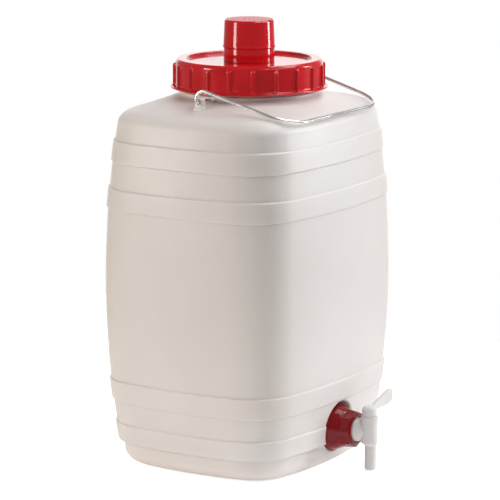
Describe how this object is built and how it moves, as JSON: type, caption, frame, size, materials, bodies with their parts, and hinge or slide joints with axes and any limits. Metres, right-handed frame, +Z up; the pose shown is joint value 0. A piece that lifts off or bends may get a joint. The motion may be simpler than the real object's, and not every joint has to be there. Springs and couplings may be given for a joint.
{
  "type": "plastic fermenting bucket",
  "caption": "Barrel-shaped plastic fermenting container with a screw lid, a water airlock under a cap, a folding wire bail and a lever tap held by a union nut.",
  "frame": {"origin": "centre of the barrel's base, on the plane it stands on", "axes": "+Z up through the lid, -Y towards the tap, X along the wide side and the bail's hinge line"},
  "size_m": [0.3368, 0.3186, 0.537],
  "materials": {
    "natural_plastic": "satin, slightly translucent natural polyethylene",
    "tap_plastic": "satin translucent polyethylene",
    "clear_plastic": "translucent, smooth",
    "red_plastic": "glossy moulded",
    "nut_plastic": "semi-gloss moulded",
    "rubber": "matt",
    "wire": "bright drawn wire"
  },
  "bodies": {
    "vessel": {"vessel": "natural_plastic", "tap_gasket": "rubber", "tap_body": "tap_plastic"},
    "gasket_ring": {"lid_gasket": "rubber"},
    "lid": {"lid": "red_plastic", "airlock_seal": "rubber", "airlock_body": "red_plastic"},
    "cap": {"airlock_cap": "red_plastic"},
    "bell": {"airlock_bell": "clear_plastic"},
    "bail": {"bail": "wire"},
    "nut": {"union_nut": "nut_plastic"},
    "plug": {"tap_plug": "tap_plastic"}
  },
  "joints": [
    {"name": "bail_swing", "type": "hinge", "parent": "vessel", "child": "bail", "pos_m": [0, 0, 0.4488], "axis": [-1, 0, 0], "range_deg": [0, 130]},
    {"name": "lid_lift", "type": "slide", "parent": "vessel", "child": "gasket_ring", "axis": [0, 0, 1], "range_m": [0, 0.2]},
    {"name": "lid_turn", "type": "hinge", "parent": "gasket_ring", "child": "lid", "pos_m": [0, 0, 0.484], "axis": [0, 0, 1], "range_deg": [0, 900]},
    {"name": "cap_lift", "type": "slide", "parent": "lid", "child": "cap", "axis": [0, 0, 1], "range_m": [0, 0.06]},
    {"name": "bell_float", "type": "slide", "parent": "lid", "child": "bell", "axis": [0, 0, 1], "range_m": [0, 0.006]},
    {"name": "nut_turn", "type": "hinge", "parent": "vessel", "child": "nut", "pos_m": [0, -0.14, 0.0477], "axis": [0, -1, 0], "range_deg": [0, 900]},
    {"name": "tap_turn", "type": "hinge", "parent": "vessel", "child": "plug", "pos_m": [0, -0.17, 0.06], "axis": [0, 0, 1], "range_deg": [-180, 0]}
  ]
}
